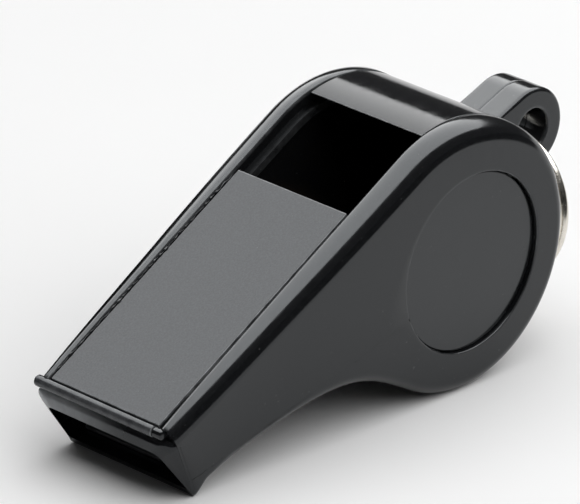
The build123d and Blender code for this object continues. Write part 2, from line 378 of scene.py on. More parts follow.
def facing_out(points, faces):
    """The faces of a surface, turned round if the volume that they enclose comes out negative."""
    corners = np.array([face[:3] for face in faces] + [[f[0], f[2], f[3]] for f in faces if len(f) == 4])
    a, b, c = (points[corners[:, k]] for k in range(3))
    volume = np.sum(a * np.cross(b, c))
    return faces if volume > 0 else [face[::-1] for face in faces]


def pole_to_pole(rows, paling=None):
    """Closed surface of rows that run round, whose first and last rows are single points."""
    count, columns = rows.shape[:2]
    marks = np.zeros((count, columns)) if paling is None else np.broadcast_to(paling, (count, columns))
    points = np.vstack([rows[0, :1], rows[1:-1].reshape(-1, 3), rows[-1, :1]])
    marks = np.concatenate([marks[0, :1], marks[1:-1].ravel(), marks[-1, :1]])
    last = len(points) - 1
    faces = grid_faces(count - 2, columns, start=1)
    faces += fan(1, columns, 0, True) + fan(last - columns, columns, last, False)
    return points, facing_out(points, faces), marks


def lathe(center, radius, y, count):
    """Rows of a surface turned about an axis across the whistle: a circle of each radius at its place y."""
    turn = full_turn(count)
    return np.stack(
        [
            center[0] + radius[:, None] * np.cos(turn),
            np.broadcast_to(y[:, None], (len(y), count)),
            center[1] + radius[:, None] * np.sin(turn),
        ],
        2,
    )


def prism(profile, paling, half, edge, shift=0.0):
    """Closed solid of a side-view outline carried across the mid-plane, with rounded ends.
    Each row is the outline at one share of its half width, which may differ from point to point,
    drawn in along its normals on a quarter circle at the ends."""
    half = np.broadcast_to(half, (len(profile),))
    turn = quarter_turn(5)
    before = [0.0, -3 * edge, -1.5 * edge]
    level = np.zeros(len(before))
    y = np.concatenate([before, edge * (np.sin(turn) - 1)])[:, None] + half
    y[0] = 0.0
    inset = np.concatenate([level, edge * (1 - np.cos(turn))])
    # Painted highlight on the rounded ends, on top of the outline's own marks
    mark = np.concatenate([level, np.sin(2 * turn)])
    y = np.concatenate([-y[:0:-1], y]) + shift
    inset = np.concatenate([inset[:0:-1], inset])
    mark = np.concatenate([mark[:0:-1], mark])
    flat = profile[None] - inset[:, None, None] * outward(profile)[None]
    points = np.stack([flat[..., 0], y, flat[..., 1]], 2).reshape(-1, 3)
    marks = np.maximum(paling[None], mark[:, None]).ravel()
    columns, rows = len(profile), len(y)
    faces = facing_out(points, grid_faces(rows, columns))
    first = list(range(columns))
    last = [(rows - 1) * columns + v for v in first]
    forward = faces[0][0] == 0 and faces[0][1] == 1
    faces += [first[::-1], last] if forward else [first, last[::-1]]
    return points, faces, marks


def joined(parts):
    """Several closed surfaces as one list of points, faces and paler marks."""
    points, faces, marks = [], [], []
    start = 0
    for part_points, part_faces, part_marks in parts:
        points.append(part_points)
        faces += [[v + start for v in face] for face in part_faces]
        marks.append(part_marks)
        start += len(part_points)
    return np.vstack(points), faces, np.concatenate(marks)


def to_mesh(name, part, crease=CREASE):
    """Mesh of a part, smooth but for creases sharper than an angle, with its paler marks, most of them
    painted highlights.
    """
    points, faces, marks = part
    mesh = bpy.data.meshes.new(name)
    mesh.from_pydata(points.tolist(), [], faces)
    mesh.attributes.new("edge_wear", "FLOAT", "POINT").data.foreach_set("value", marks.astype(np.float32))
    mesh.shade_smooth()
    mesh.set_sharp_from_angle(angle=math.radians(crease))
    mesh.update()
    return mesh


def add_piece(name, mesh, material, body, slot, *nodes):
    """Object of a mesh that rides on a body and stands for CAD nodes."""
    piece = bpy.data.objects.new(name, mesh)
    bpy.context.scene.collection.objects.link(piece)
    mesh.materials.append(material)
    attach(piece, body)
    if nodes:
        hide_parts(*nodes)
    return piece


# Materials


def new_material(name):
    """Empty material, its node tree and its main shader."""
    material = bpy.data.materials.new(name)
    material.use_nodes = True
    tree = material.node_tree
    return material, tree, tree.nodes["Principled BSDF"]


def node(tree, kind, inputs=None, **settings):
    """Node of a kind with its settings, and its inputs linked or set."""
    made = tree.nodes.new(kind)
    for key, value in settings.items():
        setattr(made, key, value)
    for key, value in (inputs or {}).items():
        if isinstance(value, bpy.types.NodeSocket):
            tree.links.new(value, made.inputs[key])
        else:
            made.inputs[key].default_value = value
    return made


def noise(tree, place, per_mm, detail=3.0):
    """Cloudy pattern with a number of grains to the millimetre."""
    inputs = {"Vector": place, "Scale": per_mm / MM, "Detail": detail}
    return node(tree, "ShaderNodeTexNoise", inputs).outputs["Fac"]


def remap(tree, value, low, high, start=0.0, end=1.0):
    """Value mapped from one range to another, held at its ends."""
    inputs = {"Value": value, "From Min": low, "From Max": high, "To Min": start, "To Max": end}
    return node(tree, "ShaderNodeMapRange", inputs).outputs["Result"]


def blend(tree, share, first, second):
    """Mixture of two colours."""
    inputs = {MIX_SHARE: share, MIX_FIRST: first, MIX_SECOND: second}
    return node(tree, "ShaderNodeMix", inputs, data_type="RGBA").outputs[MIX_RESULT]


def times(tree, first, second):
    """Product of two values."""
    return node(tree, "ShaderNodeMath", {0: first, 1: second}, operation="MULTIPLY").outputs[0]


def bump(tree, height, depth_mm):
    """Normal that follows a height pattern."""
    inputs = {"Height": height, "Distance": depth_mm * MM}
    return node(tree, "ShaderNodeBump", inputs).outputs["Normal"]


def shaded(base, share):
    """A colour made darker or lighter by a share."""
    return [channel * share for channel in base[:3]] + [1.0]


def object_place(tree):
    """Place on the piece, in the frame that the patterns follow."""
    return node(tree, "ShaderNodeTexCoord").outputs["Object"]


def wire_up(tree, shader, **sockets):
    """Links patterns to the main shader's colour, roughness and normal."""
    names = {"base": "Base Color", "rough": "Roughness", "normal": "Normal"}
    for key, value in sockets.items():
        tree.links.new(value, shader.inputs[names[key]])


def moulded_plastic(name):
    """Moulded plastic in one of the finishes: fine grain, cloudy gloss, specks of dust, and paler edges
    that are a painted highlight."""
    colours = bpy.context.scene.whistle_colours
    key, rough, grain_mm, paling, dust, sheen, even = FINISHES[name]
    base = getattr(colours, key)
    smoother, duller = 0.03, 0.04
    material, tree, shader = new_material(name)
    place = object_place(tree)
    grain = noise(tree, place, per_mm=6.0, detail=1.5)
    cloud = noise(tree, place, per_mm=0.22)
    speck = noise(tree, place, per_mm=4.5, detail=1.0)
    patch = noise(tree, place, per_mm=0.9, detail=2.0)
    gloss = noise(tree, place, per_mm=1.1)
    cloudy = blend(tree, remap(tree, cloud, *CLOUDS), shaded(base, share=0.86), base)
    mottle = blend(tree, remap(tree, grain, low=0.35, high=0.7), cloudy, shaded(base, share=1.9))
    # Painted highlights: where the mesh marks its paler places, the paler edge colour is mixed in, in
    # patches
    edge = node(tree, "ShaderNodeAttribute", attribute_name="edge_wear").outputs["Fac"]
    paler_share = times(tree, edge, remap(tree, patch, *PATCHES, start=even * paling, end=paling))
    paled = blend(tree, paler_share, mottle, colours.edge)
    wire_up(
        tree,
        shader,
        base=blend(tree, remap(tree, speck, low=0.76, high=0.82, end=dust), paled, colours.dust),
        rough=remap(tree, gloss, *CLOUDS, start=rough - smoother, end=rough + duller),
        normal=bump(tree, grain, grain_mm),
    )
    shader.inputs["Specular IOR Level"].default_value = sheen
    shader.inputs["Specular Tint"].default_value = colours.sheen
    return material


def cork():
    """Turned cork with dark pits and fine grain."""
    colours = bpy.context.scene.whistle_colours
    material, tree, shader = new_material("cork_finish")
    place = object_place(tree)
    cells = node(tree, "ShaderNodeTexVoronoi", {"Vector": place, "Scale": 1.1 / MM, "Randomness": 1.0})
    pits = remap(tree, cells.outputs["Distance"], low=0.06, high=0.24, start=1.0, end=0.0)
    cloud = noise(tree, place, per_mm=0.5, detail=5.0)
    pale = blend(tree, remap(tree, cloud, *CLOUDS), shaded(colours.cork, share=0.7), colours.cork)
    wire_up(
        tree,
        shader,
        base=blend(tree, pits, pale, colours.cork_pit),
        rough=remap(tree, cloud, low=0.2, high=0.8, start=0.75, end=0.92),
        normal=bump(tree, noise(tree, place, per_mm=4.0, detail=4.0), depth_mm=0.05),
    )
    return material


def ring_metal():
    """Nickel plate, cloudy and finely pitted."""
    colours = bpy.context.scene.whistle_colours
    material, tree, shader = new_material("ring_finish")
    place = object_place(tree)
    cloud = noise(tree, place, per_mm=0.8, detail=4.0)
    wire_up(
        tree,
        shader,
        base=blend(tree, remap(tree, cloud, *PATCHES), shaded(colours.metal, share=0.8), colours.metal),
        rough=remap(tree, cloud, *CLOUDS, start=0.16, end=0.3),
        normal=bump(tree, noise(tree, place, per_mm=9.0), depth_mm=0.003),
    )
    shader.inputs["Metallic"].default_value = 1.0
    return material


def dull_paper(name, base, share, per_mm, sheen):
    """Dull paper of the floor and the black cards, with a faint cloudy fibre."""
    roughness = 0.9
    material, tree, shader = new_material(name)
    fibre = remap(tree, noise(tree, object_place(tree), per_mm), *CLOUDS)
    wire_up(tree, shader, base=blend(tree, fibre, shaded(base, share), base))
    shader.inputs["Roughness"].default_value = roughness
    shader.inputs["Specular IOR Level"].default_value = sheen
    return material


# Shapes of the whistle's own pieces


def half_width(s, x, z):
    """Half the body's width: level over the drum, drawn in on a large arc to the mouth,
    a little wider above than below there, and turned in on a small radius at its end."""
    reach, narrow = s.mouth_reach, s.mouth_narrowing
    radius = (reach**2 + narrow**2) / (2 * narrow)
    ahead = np.minimum(x, 0.0)
    width = s.half_body - radius + np.sqrt(radius**2 - ahead**2)
    mouth_middle = s.lip_height + 3 * MM
    draft_start, draft_height = 0.5 * reach, 5 * MM
    corner_end = 0.95 * s.mouth_corner
    width = width + s.mouth_draft * ease(draft_start, reach, -x) * (z - mouth_middle) / draft_height
    past = np.clip(-x - s.mouth_corner_start, 0.0, corner_end)
    return width - s.mouth_corner + np.sqrt(s.mouth_corner**2 - past**2)


def inner_width(s, x, z):
    """Half the width inside: level along the windway, and opened out to a thin wall below the top plate
    as it nears the mouth."""
    wall = half_width(s, x, z) - s.mouth_wall - s.slot_half
    opens_from = 0.75 * s.mouth_reach
    near = ease(opens_from, s.mouth_reach, -x)
    open_below = plate_top(s) - 1.4 * MM
    level_above = plate_top(s) - 1.0 * MM
    below = 1 - ease(open_below, level_above, z)
    return s.slot_half + wall.clip(0.0) * near * below


def rail_top(s):
    """Height of the rails above the drum axis."""
    return s.drum_radius + s.rail_rise


def plate_top(s):
    """Height of the top plate above the drum axis."""
    return rail_top(s) - s.plate_step


def rail_front(s):
    """Place of the rails' front ends along the whistle."""
    return s.rail_setback - s.mouth_reach


def roll_middle(s):
    """Middle of the roll across the mouth."""
    return np.array([rail_front(s) - s.bead_lead, plate_top(s) - s.bead_drop])


def chamber_radius(s):
    """Radius of the chamber in the drum."""
    return s.drum_radius - s.drum_wall


def duct_end(s):
    """Place along the whistle at which the duct's floor meets the chamber's circle."""
    return -math.sqrt(chamber_radius(s) ** 2 - s.duct_rear**2)


def floor_line(s, x):
    """Height of the duct's floor, a straight line from the lip to the drum."""
    front = s.lip_height - s.lip_radius + s.lip_wall
    return front + (x + s.mouth_reach) / (duct_end(s) + s.mouth_reach) * (s.duct_rear - front)


def ray_crossing(center_x, radius, turn):
    """Distance from the drum axis at which a ray meets a circle whose centre lies on the X axis."""
    across = center_x * math.cos(turn)
    return across + math.sqrt(across**2 + radius**2 - center_x**2)


def shell_outline(s):
    """Side view of a half in two runs: the barrel from the bridge's end round to the mouth's floor,
    and the rail from there over the mouth and back. Both run past the mouth, where they are cut."""
    front = -s.mouth_reach - OVERRUN
    top = rail_top(s)
    crown = (-s.rail_rise, 0.0)
    end = polar(ray_crossing(-s.rail_rise, top, s.bridge_end), s.bridge_end)
    end_turn = math.atan2(end[1], end[0] + s.rail_rise)
    bottom = np.array([s.lip_radius - s.mouth_reach, s.lip_height - s.lip_radius])
    back = np.array([bottom[0] + s.lip_length, s.lip_height + s.lip_flare])
    meet = polar(s.drum_radius, s.neck)
    slope = np.array([math.cos(s.underside), -math.sin(s.underside)])
    fall = np.array([-math.sin(s.neck), math.cos(s.neck)])
    run = np.linalg.solve(np.stack([slope, -fall], 1), meet - back)[0]
    corner = back + run * slope
    drum_pull, lip_pull = 0.82, 0.95
    under = bezier(meet, meet + drum_pull * (corner - meet), back + lip_pull * (corner - back), back)
    barrel = np.vstack(
        [
            arc(crown, top, end_turn, 0.0, 24),
            arc((0.0, 0.0), s.drum_radius, 0.0, s.neck - 2 * math.pi, 160)[1:],
            under[1:],
            line(back, bottom)[1:],
            line(bottom, (front, bottom[1]))[1:],
            line((front, bottom[1]), (front, floor_line(s, front)))[1:],
        ]
    )
    rail = np.vstack(
        [
            line(barrel[-1], (front, top)),
            line((front, top), (-s.rail_rise, top))[1:],
            arc(crown, top, math.pi / 2, end_turn, 64)[1:],
        ]
    )
    return barrel, rail


def shell_stations(s):
    """Points, normals and kind of the stations round a half. The two runs share their end points."""
    step, softening = 0.05 * MM, 0.2 * MM
    count, share_in_bends = 860, 0.4
    barrel, rail = shell_outline(s)
    even = even_outline(np.vstack([barrel, rail[1:-1]]), step, softening)
    normal = outward(even)
    whole = np.vstack([barrel, rail[1:], barrel[:1]])
    split = int(round(along(barrel)[-1] / along(whole)[-1] * len(even)))
    chosen = crowd(even, count, share_in_bends)
    first = np.unique(np.concatenate([chosen[chosen <= split], [0, split]]))
    second = np.unique(np.concatenate([chosen[chosen >= split], [split, len(even) - 1]]))
    index = np.concatenate([first, second, [0]])
    slot = np.arange(len(index)) >= len(first)
    return even[index], normal[index], slot


def inner_path(s, points):
    """Inside of the barrel: the chamber's circle beside the drum, then the duct's floor out to the mouth."""
    chamber = chamber_radius(s)
    turn = np.arctan2(points[:, 1], points[:, 0])
    on_drum = np.stack([chamber * np.cos(turn), chamber * np.sin(turn)], 1)
    rear = (duct_end(s), s.duct_rear)
    front = -s.mouth_reach - OVERRUN
    path = np.vstack(
        [
            arc((0.0, 0.0), chamber, s.neck, math.atan2(rear[1], rear[0]), 48),
            line(rear, (front, floor_line(s, front)))[1:],
        ]
    )
    meet = polar(s.drum_radius, s.neck)
    past = (points[:, 0] < meet[0]) & (turn % (2 * math.pi) < s.neck)
    run = along(points)
    start = run[past].min() if past.any() else run[-1]
    share = np.clip((run - start) / (run[-1] - start), 0.0, 1.0)
    on_floor = spread(path, share * along(path)[-1])
    return np.where(past[:, None], on_floor, on_drum)


def waistline(s, points):
    """A closed chain of side-view points, drawn toward the mouth's middle where a ray from the drum axis
    would meet it more than once. Its slopes rise steadily below the mouth and above it."""
    least_rise, drum_share, past_by = 1e-5, 0.3, 1 * MM
    ahead = np.flatnonzero(points[:, 0] < -drum_share * s.mouth_reach)
    slope = -points[ahead, 1] / points[ahead, 0]
    middle = (s.lip_height + plate_top(s)) / (2 * s.mouth_reach)
    past_mouth = points[ahead, 0] < -s.mouth_reach - past_by
    split = int(np.argmax(past_mouth & (slope > middle)))
    below = np.maximum.accumulate(slope[:split])
    above = np.minimum.accumulate(slope[split:][::-1])[::-1]
    steady = np.concatenate([below, above]) + least_rise * (np.arange(len(ahead)) - split)
    drawn = points.copy()
    drawn[ahead, 1] = -steady * points[ahead, 0]
    return drawn


def edge_radius(s, q, n):
    """Radius of a half's outer edge at each station: large along the rails, smaller round the drum and
    the underside, smaller still at the lower lip, and nearly none past the mouth."""
    side_slope, top_slope = 0.15, 0.85
    lip_start, lip_end = 0.85 * s.mouth_reach, 0.95 * s.mouth_reach
    fade_start, fade_end, fade = s.mouth_reach + 0.8 * MM, s.mouth_reach + 1.8 * MM, 0.9
    upward = ease(side_slope, top_slope, n[:, 1])
    lip = ease(lip_start, lip_end, -q[:, 0])
    radius = s.cheek_round + (s.lip_round - s.cheek_round) * lip
    radius = radius + (s.rail_round - radius) * upward
    return radius * (1 - fade * ease(fade_start, fade_end, -q[:, 0]))


def shell_part(s, side):
    """Outside and inside of one half as one closed surface. Its rows run round the side view, from the
    middle of the inlay's pocket over the cheek, the rounded edge and the barrel or rail, and back inside."""
    q, n, slot = shell_stations(s)
    count = len(q)
    barrel_count = int(np.sum(~slot))
    inside = q.copy()
    inside[:barrel_count] = inner_path(s, q[:barrel_count])
    reach = np.linalg.norm(q, axis=1)
    ray = q / reach[:, None]
    rim_round, rim_highlight, ledge_highlight = 0.12 * MM, 0.8, 0.5
    outer_waist, inner_waist, deepest = 0.98, 0.985, 0.3
    pocket_shares, cheek_rows, edge_rows = (0.0, 0.5, 0.97, 1.0), 25, 20
    ledge_start, side_slope, top_slope = 1 * MM, 0.3, 0.4
    rows, paling = [], []

    def add(flat, width, mark=0.0):
        """Adds a row of the side view at its place across."""
        width = np.broadcast_to(width, (count,))
        rows.append(np.stack([flat[:, 0], width, flat[:, 1]], 1))
        paling.append(np.broadcast_to(mark, (count,)).astype(float))

    def add_between(first, second, shares, width):
        """Adds rows at shares of the way between two rows, as far across as the width says."""
        for share in shares:
            flat = first * (1 - share) + second * share
            add(flat, width(s, flat[:, 0], flat[:, 1]))

    # Pocket of the inlay and its rim, with a painted highlight along the rim's rounding
    pocket = s.half_body - s.badge_recess - s.badge_thickness
    hub = np.array([s.badge_back, -s.badge_drop])
    for share in pocket_shares:
        add(hub + ray * s.badge_radius * share, pocket)
    rim = hub + ray * (s.badge_radius + rim_round)
    rim_width = half_width(s, rim[:, 0], rim[:, 1])
    add(hub + ray * s.badge_radius, rim_width - 2.5 * rim_round)
    for turn in quarter_turn(5):
        out = s.badge_radius + rim_round * (1 - math.cos(turn))
        add(hub + ray * out, rim_width - rim_round * (1 - math.sin(turn)), rim_highlight * math.sin(2 * turn))
    # Cheek and its rounded edge
    radius = edge_radius(s, q, n)
    foot = q - n * radius[:, None]
    waist = waistline(s, (1 - outer_waist) * rim + outer_waist * foot)
    add_between(rim, waist, 1 - np.linspace(1.0, 0.0, cheek_rows)[1:] ** 2, half_width)
    add_between(waist, foot, THIRDS, half_width)
    width = half_width(s, foot[:, 0], foot[:, 1])
    slot_edge = s.slot_half + s.rail_edge
    for share in np.linspace(0.0, 1.0, edge_rows) ** 2:
        drop = (width - slot_edge) * share
        lean = np.clip(1 - drop / radius, 0.0, 1.0)
        depth = radius * (1 - np.sqrt(1 - lean**2))
        shelf = q - n * depth[:, None]
        add(shelf, width - drop)
    # Inner edge of the rail, with a painted highlight along its rounding, or barrel up to the mid-plane
    for turn in quarter_turn(7)[1:]:
        rail_flat = shelf - n * s.rail_edge * (1 - math.cos(turn))
        rail_y = s.slot_half + s.rail_edge * (1 - math.sin(turn))
        barrel_y = slot_edge * (1 - turn / (np.pi / 2)) + SEAM
        flat = np.where(slot[:, None], rail_flat, q)
        add(flat, np.where(slot, rail_y, barrel_y), slot * math.sin(2 * turn))
    # Inner side of the rail with its ledge, and inside of the barrel. Each row has its depth below the
    # rail, its share of the ledge, its share of the way in, and its share of the width inside.
    past_apron = q[:, 0] + s.mouth_reach - s.apron_run - s.rail_setback
    ledge = s.ledge_width * slot * ease(0.0, ledge_start, past_apron)
    ledge = ledge * ease(side_slope, top_slope, n[:, 1])
    ledge_top = s.plate_step + s.plate_thickness
    ledge_foot = ledge_top + s.ledge_depth
    wide_below = ledge_foot + 0.4 * MM
    inner_rows = (
        (ledge_top, 0.0, 0.04, 0.0),
        (ledge_top, 1.0, 0.5, 0.0),
        (ledge_foot, 1.0, 1.0, 0.0),
        (ledge_foot, 0.0, 1.0, 0.5),
        (wide_below, 0.0, 1.0, 1.0),
    )
    for drop, step, share, wide in inner_rows:
        down = np.minimum(drop, deepest * reach)
        flat = np.where(slot[:, None], q - n * down[:, None], q * (1 - share) + inside * share)
        inner = inner_width(s, flat[:, 0], flat[:, 1])
        # The ledge's face is painted paler as a highlight
        mark = ledge_highlight * ledge * step / s.ledge_width
        add(flat, np.where(slot, inner - ledge * step, inner * wide), mark)
    # Inner side of the cheek, to its middle
    last = rows[-1][:, [0, 2]]
    waist = waistline(s, inner_waist * last)
    add_between(last, waist, THIRDS, inner_width)
    add_between(waist, np.zeros_like(waist), (0.0, 0.04, 0.07, 0.11, 0.16, 0.23, 0.5, 1.0), inner_width)
    points = np.stack(rows)
    points[..., 1] *= side
    return pole_to_pole(points, np.stack(paling))


def half_lug(s, side):
    """One half of the lanyard lug, a ring about its hole. The section runs from the hole over the side
    face and the rounded rim to the mid-plane; the rim is round outside and straight toward the drum."""
    center = row_to_side(lug_axis)[[0, 2]]
    reach = np.linalg.norm(center)
    axis = center / reach
    turn = full_turn(128)
    cos, sin = np.cos(turn), np.sin(turn)
    root, least, bore_round = 0.9 * MM, 1e-6, 0.2 * MM
    # Painted highlights: faint on the rounded rim, stronger on the hole's rounded edge and along the seam
    rim_highlight, paled = 0.15, 0.6
    straight = s.lug_radius / np.maximum(np.abs(sin), least)
    back = (reach - s.drum_radius + root) / np.maximum(-cos, least)
    outer = np.where(cos >= 0, s.lug_radius, np.minimum(straight, back))
    way = cos[:, None] * axis + sin[:, None] * np.array([-axis[1], axis[0]])
    rows, paling = [], []

    def add(radius, width, mark=0.0):
        """Adds a row round the hole at its place across."""
        flat = center + way * np.broadcast_to(radius, turn.shape)[:, None]
        rows.append(np.stack([flat[:, 0], np.full(len(turn), side * width), flat[:, 1]], 1))
        paling.append(np.full(len(turn), mark))

    add(s.lug_hole, SEAM)
    add(s.lug_hole, 4 * SEAM)
    add(s.lug_hole, s.lug_half - 2 * bore_round)
    for bend in quarter_turn(5):
        radius = s.lug_hole + bore_round * (1 - math.cos(bend))
        add(radius, s.lug_half - bore_round * (1 - math.sin(bend)), paled)
    add(s.lug_hole + 2 * bore_round, s.lug_half)
    add(outer - 1.6 * s.lug_round, s.lug_half)
    for bend in quarter_turn(8):
        radius = outer - s.lug_round * (1 - math.sin(bend))
        add(radius, s.lug_half - s.lug_round * (1 - math.cos(bend)), rim_highlight)
    add(outer, s.lug_half - 1.6 * s.lug_round)
    add(outer, 4 * SEAM)
    add(outer, 1.5 * SEAM, paled)
    add(outer - SEAM, 0.0)
    add(outer - 3 * SEAM, 0.0)
    add(s.lug_hole + SEAM, 0.0)
    points = np.vstack(rows)
    faces = facing_out(points, grid_faces(len(rows), len(turn), wrap_rows=True))
    return points, faces, np.concatenate(paling)


def roll_end(s, root, tip, radius):
    """End of the roll across the mouth: a short round bar from one place across to another, with a
    bevelled inner end and a domed outer one."""
    bevel, bevel_share, dome_share = 0.06 * MM, 0.88, 0.4
    way = math.copysign(1.0, tip - root)
    bend = quarter_turn(8)
    dome = tip - dome_share * radius * way * (1 - np.sin(bend))
    y = np.concatenate([[root, root, root + bevel * way], dome])
    radii = radius * np.concatenate([[0.0, bevel_share, 1.0], np.cos(bend)])
    return pole_to_pole(lathe(roll_middle(s), radii, y, 40))


def swing(points, turn):
    """Points turned about the Y axis, from +Z toward +X."""
    x, y, z = points.T
    cos, sin = math.cos(turn), math.sin(turn)
    return np.stack([x * cos + z * sin, y, z * cos - x * sin], -1)


def rest_tilt(s):
    """Angle that brings the drum and the lower lip onto one level."""
    x, z = s.lip_radius - s.mouth_reach, s.lip_height
    lift = math.acos((s.drum_radius - s.lip_radius) / math.hypot(x, z))
    return 1.5 * math.pi - math.atan2(z, x) - lift


def row_to_side(point):
    """A point of the shared frame, seen in the untipped side view."""
    return swing(np.asarray(point) - drum_axis, rest_tilt(bpy.context.scene.whistle_sizes))


def tipped(part):
    """A part of the untipped side view, tipped back and set in the shared frame."""
    points, faces, marks = part
    return swing(points, -rest_tilt(bpy.context.scene.whistle_sizes)) + drum_axis, faces, marks


def cut_mouth(s, mesh):
    """Cuts a half off at the plane of the mouth, rounds its lower lip by three more cuts round the lip's
    centre, and closes each cut."""
    merge_within, on_plane = 1e-8, 1e-9
    low = np.array([-s.mouth_reach, 0.0, s.lip_height])
    rise = np.array([rail_front(s), 0.0, rail_top(s)]) - low
    turns = np.radians(LIP_CUTS)
    ways = np.stack([np.cos(turns), 0.0 * turns, np.sin(turns)], 1)
    lip = np.array([s.lip_radius - s.mouth_reach, 0.0, s.lip_height])
    spots = np.vstack([low, lip + s.lip_radius * ways])
    ways = np.vstack([[-rise[2], 0.0, rise[0]], ways])
    heads = tipped((spots + ways, [], []))[0]
    spots = tipped((spots, [], []))[0]
    work = bmesh.new()
    work.from_mesh(mesh)
    bmesh.ops.remove_doubles(work, verts=work.verts, dist=merge_within)
    for spot, head in zip(spots, heads):
        every = work.verts[:] + work.edges[:] + work.faces[:]
        cut = bmesh.ops.bisect_plane(
            work, geom=every, dist=on_plane, plane_co=spot, plane_no=head - spot, clear_outer=True
        )
        rim = [item for item in cut["geom_cut"] if isinstance(item, bmesh.types.BMEdge)]
        bmesh.ops.holes_fill(work, edges=rim, sides=0)
    work.to_mesh(mesh)
    work.free()


def smooth_profile(points, rounding, count):
    """Rounded outline of a prism and its marks of painted highlight, which follow its convex corners."""
    step, share_in_bends = 0.02 * MM, 0.6
    highlight_radius = 0.12 * MM
    even = even_outline(points, step, rounding)
    turn = np.maximum(bends(even), 0.0) / step
    marks = np.clip(turn * highlight_radius, 0.0, 1.0)
    chosen = crowd(even, count, share_in_bends)
    return even[chosen], marks[chosen]


def roof_profile(s):
    """Side view of the top plate: plate, scored groove, roll, the crevice below it, and the slope back."""
    top = plate_top(s)
    seat = top - s.plate_thickness + SEAT_GAP
    front = rail_front(s)
    roll = roll_middle(s)
    roll_from, roll_to = math.radians(60), math.radians(262)
    groove_foot, groove_depth = 0.3 * s.groove, 2.2 * s.groove
    crevice, apron = 0.1 * MM, 0.7 * MM
    heel = roll[1] - s.bead_radius - crevice
    face, slope = front - 0.05 * MM, front + 0.2 * MM
    return np.vstack(
        [
            line((-s.window_front, seat), (-s.window_front, top)),
            line((front + s.groove, top), (front + groove_foot, top - groove_depth)),
            arc(roll, s.bead_radius, roll_from, roll_to, 48),
            line((face, heel), (face, heel - apron)),
            line((slope, heel - apron), (front + s.apron_run, seat)),
        ]
    )


def roof_widths(s, profile):
    """Half width and sideways shift along the top plate's outline: the plate fits between the rails, and
    the roll in front of them spans the mouth, set a little to the far side."""
    change = 0.12 * MM
    front = rail_front(s)
    ahead = 1 - ease(front - change, front, profile[:, 0])
    inside = s.slot_half - s.plate_gap
    return inside + (s.bead_half - inside) * ahead, s.bead_shift * ahead


def mouth_tip(s):
    """Tip in front of the two halves: an arch up one side of the mouth, across it and down the other. Its
    section runs from the halves' front ends over a rounded edge to the opening's edge and back inside."""
    foot = s.lip_height + 0.15 * MM
    brow_top = plate_top(s) - s.tip_drop
    back_top = brow_top - 0.15 * MM
    edge_top = brow_top - s.tip_depth
    inner_top = edge_top + 0.35 * MM
    brow_corner, edge_corner, inner_corner = 1.0 * MM, 0.9 * MM, 0.5 * MM
    overlap, skin, inner_setback = 0.35 * MM, 0.006 * MM, 0.1 * MM
    side_steps, corner_steps, across_steps = 40, 14, 24
    rim, face = 0.06, 0.6
    pale_from, pale_to, highlight_height, hidden = -4 * MM, 8 * MM, 1 * MM, 0.2

    def ends(z):
        """Front ends of the halves, a straight line from the lower lip to the rails."""
        return s.rail_setback * (z - s.lip_height) / (rail_top(s) - s.lip_height) - s.mouth_reach

    def lap(z):
        """A line behind those ends, where the tip starts."""
        return ends(z) + overlap

    def lead(z):
        """The opening's edge, which leans forward."""
        return -s.mouth_reach - s.tip_lead * (z - s.lip_height) / (edge_top - s.lip_height)

    def brow(z):
        """The rounded edge, a share of the way from the halves' ends to the opening's edge."""
        return ends(z) + s.tip_brow * (lead(z) - ends(z))

    def outside(x, z):
        """Half width just outside the halves."""
        return half_width(s, x, z) + skin

    def flared(x, z):
        """Half width that grows upward."""
        return half_width(s, x, z) + s.tip_shift * ease(s.lip_height, edge_top, z)

    def opening(x, z):
        """Half width of the opening, which narrows upward."""
        return s.tip_low - (s.tip_low - s.tip_high) * (z - s.lip_height) / (edge_top - s.lip_height)

    def within(x, z):
        """Half width inside the halves."""
        return inner_width(s, x, z)

    def arch(way, half, top, corner):
        """Chain up one side, round a corner, across the top and down the other side."""
        side = np.linspace(foot, top - corner, side_steps)
        turn = quarter_turn(corner_steps)[1:]
        knee = half(way(side[-1:]), side[-1:]) - corner
        y = np.concatenate([half(way(side), side), knee + corner * np.cos(turn)])
        z = np.concatenate([side, top - corner + corner * np.sin(turn)])
        y = np.concatenate([y, np.linspace(y[-1], 0.0, across_steps)[1:]])
        z = np.concatenate([z, np.full(across_steps - 1, top)])
        y = np.concatenate([-y, y[-2::-1]])
        z = np.concatenate([z, z[-2::-1]])
        return np.stack([way(z), y, z], 1)

    back = arch(lap, outside, back_top, brow_corner)
    brows = arch(brow, flared, brow_top, brow_corner)
    brows[:, 1] += s.tip_shift * ease(s.lip_height, edge_top, brows[:, 2])
    edge = arch(lead, opening, edge_top, edge_corner)
    inner = arch(ends, within, inner_top, inner_corner)
    inner[:, 0] += inner_setback
    first, last = 0.5 * (back + brows), 0.5 * (brows + edge)
    bend = np.linspace(0.0, 1.0, 9)[:, None, None]
    turned = first * (1 - bend) ** 2 + 2 * brows * bend * (1 - bend) + last * bend**2
    section = [back, *turned, (1 - face) * last + face * edge, rim * last + (1 - rim) * edge, edge]
    section += [(1 - rim) * edge + rim * inner, inner]
    rows = np.stack(section, 1)
    rows[0] = rows[0].mean(0)
    rows[-1] = rows[-1].mean(0)
    # Painted highlight: paler toward the far side, from just below the opening's upper edge upward, and not
    # on the rows next to the halves' ends
    across = ease(pale_from, pale_to, rows[..., 1])
    paler_share = across * ease(edge_top - highlight_height, edge_top, rows[..., 2])
    ahead = np.linspace(0.0, 1.0, len(section)) > hidden
    return pole_to_pole(rows, paler_share * ahead)


